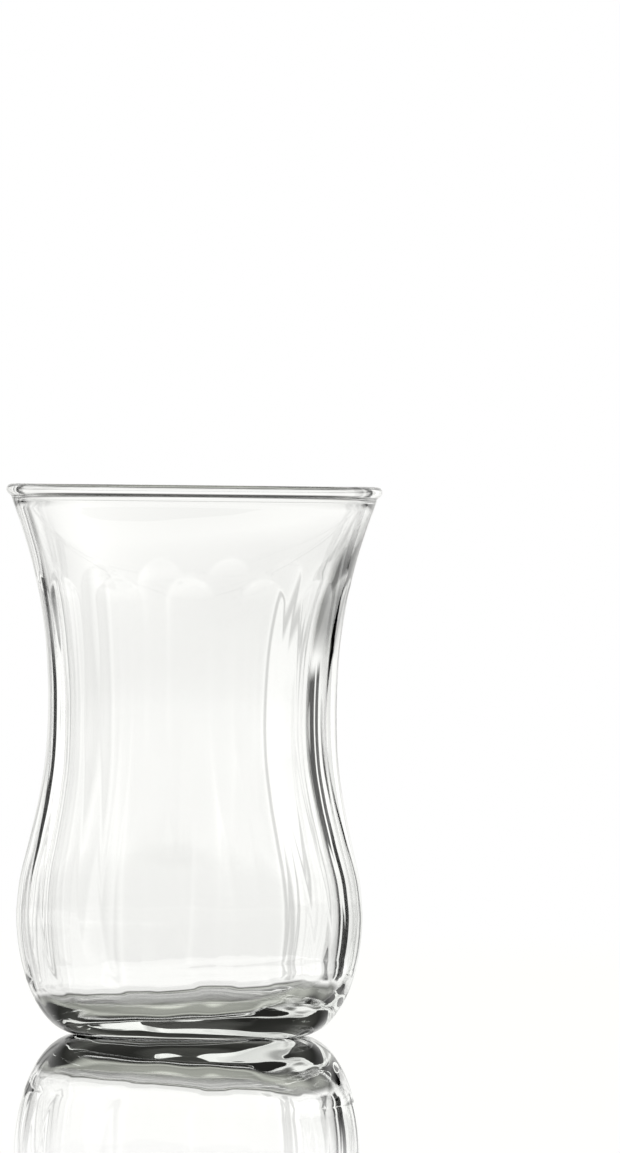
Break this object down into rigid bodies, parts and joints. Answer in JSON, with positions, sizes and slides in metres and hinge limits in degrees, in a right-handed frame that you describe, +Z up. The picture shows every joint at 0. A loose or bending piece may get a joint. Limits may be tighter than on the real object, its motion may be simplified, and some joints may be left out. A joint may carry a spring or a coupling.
{
  "type": "tea glass",
  "caption": "Small waisted clear glass for hot tea, with a rim bead, arched panels pressed round its outside and a thick foot with a flat bearing ring.",
  "frame": {"origin": "centre of the ring that the glass stands on, on the glass's axis", "axes": "+Z up along the glass's axis towards the rim"},
  "size_m": [0.063, 0.063, 0.092],
  "materials": {
    "clear_glass": "smooth pressed glass, faint grey-green where it is thick"
  },
  "bodies": {
    "root": {"tea_glass": "clear_glass"}
  },
  "joints": []
}
